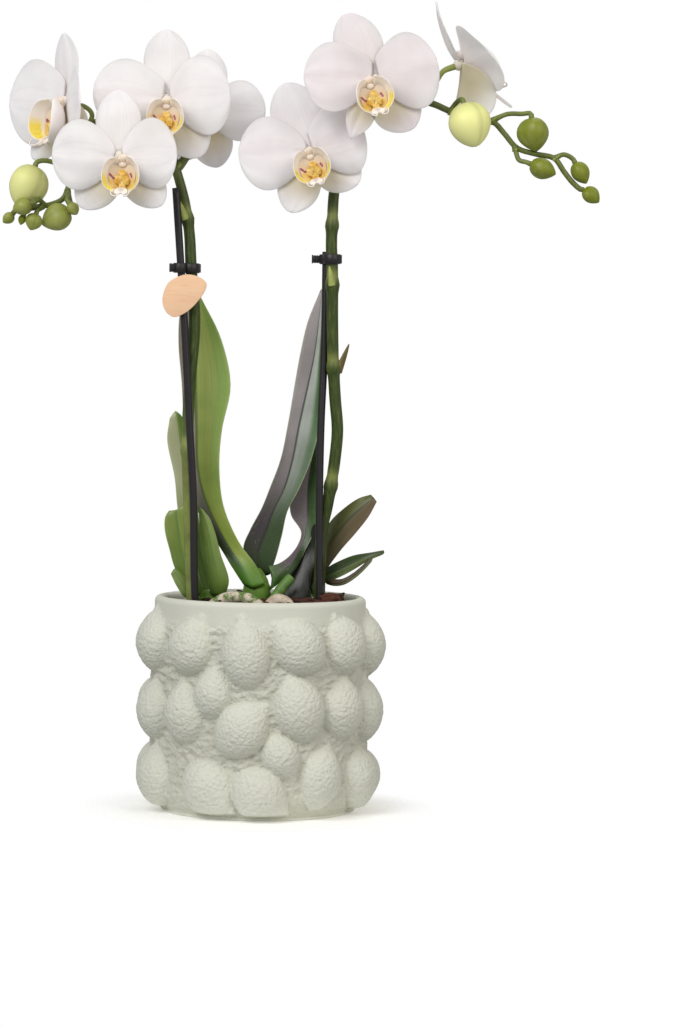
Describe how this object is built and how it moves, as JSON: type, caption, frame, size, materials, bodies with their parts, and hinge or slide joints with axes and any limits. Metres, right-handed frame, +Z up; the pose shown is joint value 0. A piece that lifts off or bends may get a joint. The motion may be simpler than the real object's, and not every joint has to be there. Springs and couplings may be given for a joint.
{
  "type": "potted moth orchid",
  "caption": "White moth orchid with two flower spikes on stakes, in a grey-green ceramic cover pot with lemons in relief.",
  "frame": {"origin": "centre of the cover pot's foot, on the surface that it stands on", "axes": "+Z up, -Y towards the front that the picture shows, +X to its right"},
  "size_m": [0.2912, 0.1282, 0.4004],
  "materials": {
    "ceramic_relief": "matte",
    "brown_plastic": "satin",
    "bark": "matte",
    "root": "matte",
    "stem": "satin",
    "leaf_green": "satin",
    "leaf_dark": "satin",
    "black_plastic": "satin",
    "pale_wood": "matte",
    "petal_white": "satin",
    "lip_yellow": "satin",
    "bud_green": "satin"
  },
  "bodies": {
    "root": {"cover_pot": "ceramic_relief", "nursery_pot": "brown_plastic", "bark_fill": "bark", "root_green": "root", "root_pale": "root", "old_stem_stub": "stem", "crown_left": "leaf_green", "crown_centre": "leaf_green", "crown_right": "leaf_green", "leaf_centre_left": "leaf_green", "leaf_centre_right": "leaf_dark", "leaf_back_left": "leaf_green", "leaf_low_left": "leaf_green", "leaf_low_left_inner": "leaf_green", "leaf_small_left": "leaf_green", "leaf_back_right": "leaf_dark", "leaf_right": "leaf_dark", "leaf_low_right": "leaf_dark", "leaf_inner_right": "leaf_dark", "stake_left": "black_plastic", "stake_right": "black_plastic", "spike_left": "stem", "spike_right": "stem", "clip_left": "black_plastic", "clip_right": "black_plastic", "tag": "pale_wood", "bloom_1": "petal_white", "lip_1": "lip_yellow", "bloom_2": "petal_white", "lip_2": "lip_yellow", "bloom_3": "petal_white", "lip_3": "lip_yellow", "bloom_4": "petal_white", "lip_4": "lip_yellow", "bloom_5": "petal_white", "lip_5": "lip_yellow", "bloom_6": "petal_white", "lip_6": "lip_yellow", "bloom_7": "petal_white", "lip_7": "lip_yellow", "bud_left_1": "bud_green", "bud_left_2": "bud_green", "bud_left_3": "bud_green", "bud_left_4": "bud_green", "bud_left_5": "bud_green", "bud_left_6": "bud_green", "bud_left_7": "bud_green", "bud_right_1": "bud_green", "bud_right_2": "bud_green", "bud_right_3": "bud_green", "bud_right_4": "bud_green", "bud_right_5": "bud_green"}
  },
  "joints": []
}
